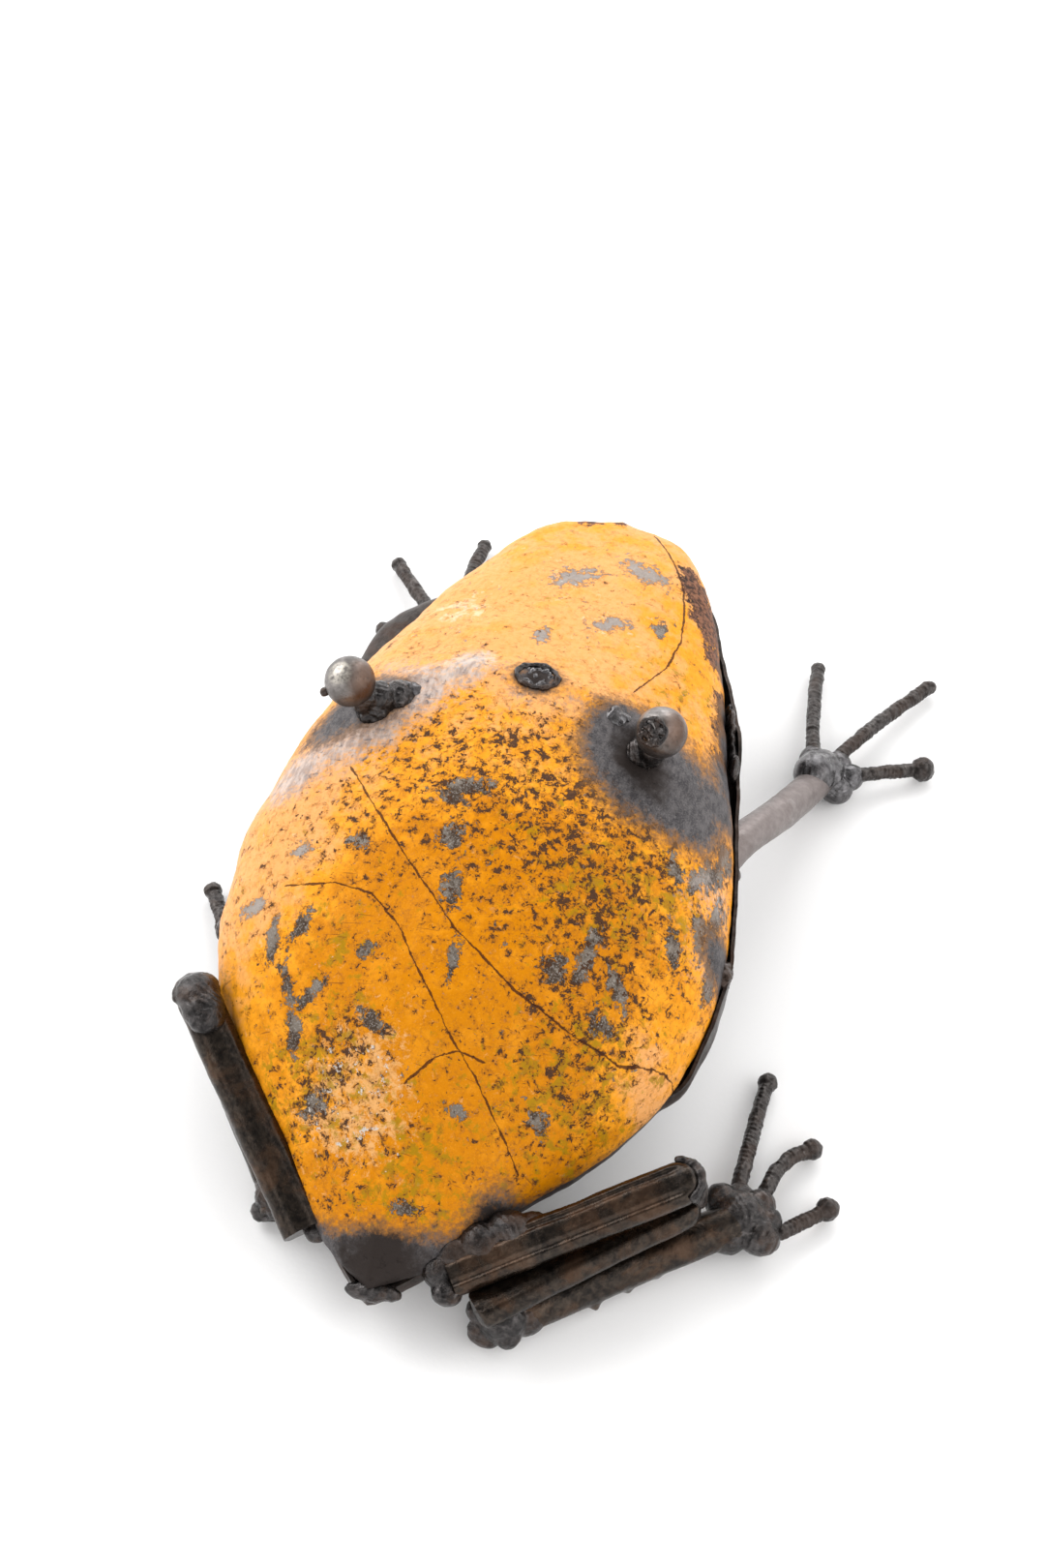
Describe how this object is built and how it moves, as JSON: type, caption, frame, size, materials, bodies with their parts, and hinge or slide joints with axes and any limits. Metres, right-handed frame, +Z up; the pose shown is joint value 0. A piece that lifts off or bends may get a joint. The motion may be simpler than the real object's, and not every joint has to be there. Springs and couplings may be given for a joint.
{
  "type": "welded scrap metal frog ornament",
  "caption": "Crouching frog ornament welded from hammered drum sheet, with folded tube legs, rod toes and steel ball eyes.",
  "frame": {"origin": "on the ground, under the middle of the whole object's box", "axes": "-Y is the way the frog faces, +X is the frog's left side, +Z is up"},
  "size_m": [0.3112, 0.4328, 0.1503],
  "materials": {
    "painted_sheet": "old orange-yellow drum paint on hammered sheet, chipped to grey steel, rust-specked, burnt grey round the welds",
    "dark_sheet": "bare hammered sheet, oiled and heat-darkened",
    "leg_tube": "oiled black-brown steel tube with a satin sheen",
    "arm_tube": "grey steel tube, worn smooth",
    "toe_rod": "rod covered with rippled weld, dark and rough",
    "weld_metal": "lumpy dark weld bead with bright high spots",
    "ball_steel": "worn steel ball, satin, heat-tinted brown on its underside"
  },
  "bodies": {
    "root": {"ankle_weld_left": "weld_metal", "ankle_weld_right": "weld_metal", "arm_left": "arm_tube", "arm_right": "arm_tube", "back_shell": "painted_sheet", "belly_shell": "dark_sheet", "brow_plug": "weld_metal", "brow_ring": "weld_metal", "eye_ball_left": "ball_steel", "eye_ball_right": "ball_steel", "eye_bead_left": "weld_metal", "eye_bead_right": "weld_metal", "eye_stem_left": "weld_metal", "eye_stem_right": "weld_metal", "eye_stud_left": "weld_metal", "eye_stud_right": "weld_metal", "eye_weld_left": "weld_metal", "eye_weld_right": "weld_metal", "foot_left": "leg_tube", "foot_right": "leg_tube", "front_toe_inner_left": "toe_rod", "front_toe_inner_right": "toe_rod", "front_toe_middle_left": "toe_rod", "front_toe_middle_right": "toe_rod", "front_toe_outer_left": "toe_rod", "front_toe_outer_right": "toe_rod", "heel_weld_left": "weld_metal", "heel_weld_right": "weld_metal", "hind_toe_inner_left": "toe_rod", "hind_toe_inner_right": "toe_rod", "hind_toe_middle_left": "toe_rod", "hind_toe_middle_right": "toe_rod", "hind_toe_outer_left": "toe_rod", "hind_toe_outer_right": "toe_rod", "hip_weld_left": "weld_metal", "hip_weld_right": "weld_metal", "knee_weld_left": "weld_metal", "knee_weld_right": "weld_metal", "shin_left": "leg_tube", "shin_right": "leg_tube", "shoulder_weld_left": "weld_metal", "shoulder_weld_right": "weld_metal", "tack_flank_left": "weld_metal", "tack_flank_right": "weld_metal", "tack_mouth_left": "weld_metal", "tack_mouth_right": "weld_metal", "tack_tail": "weld_metal", "thigh_left": "leg_tube", "thigh_right": "leg_tube", "wrist_weld_left": "weld_metal", "wrist_weld_right": "weld_metal"}
  },
  "joints": []
}
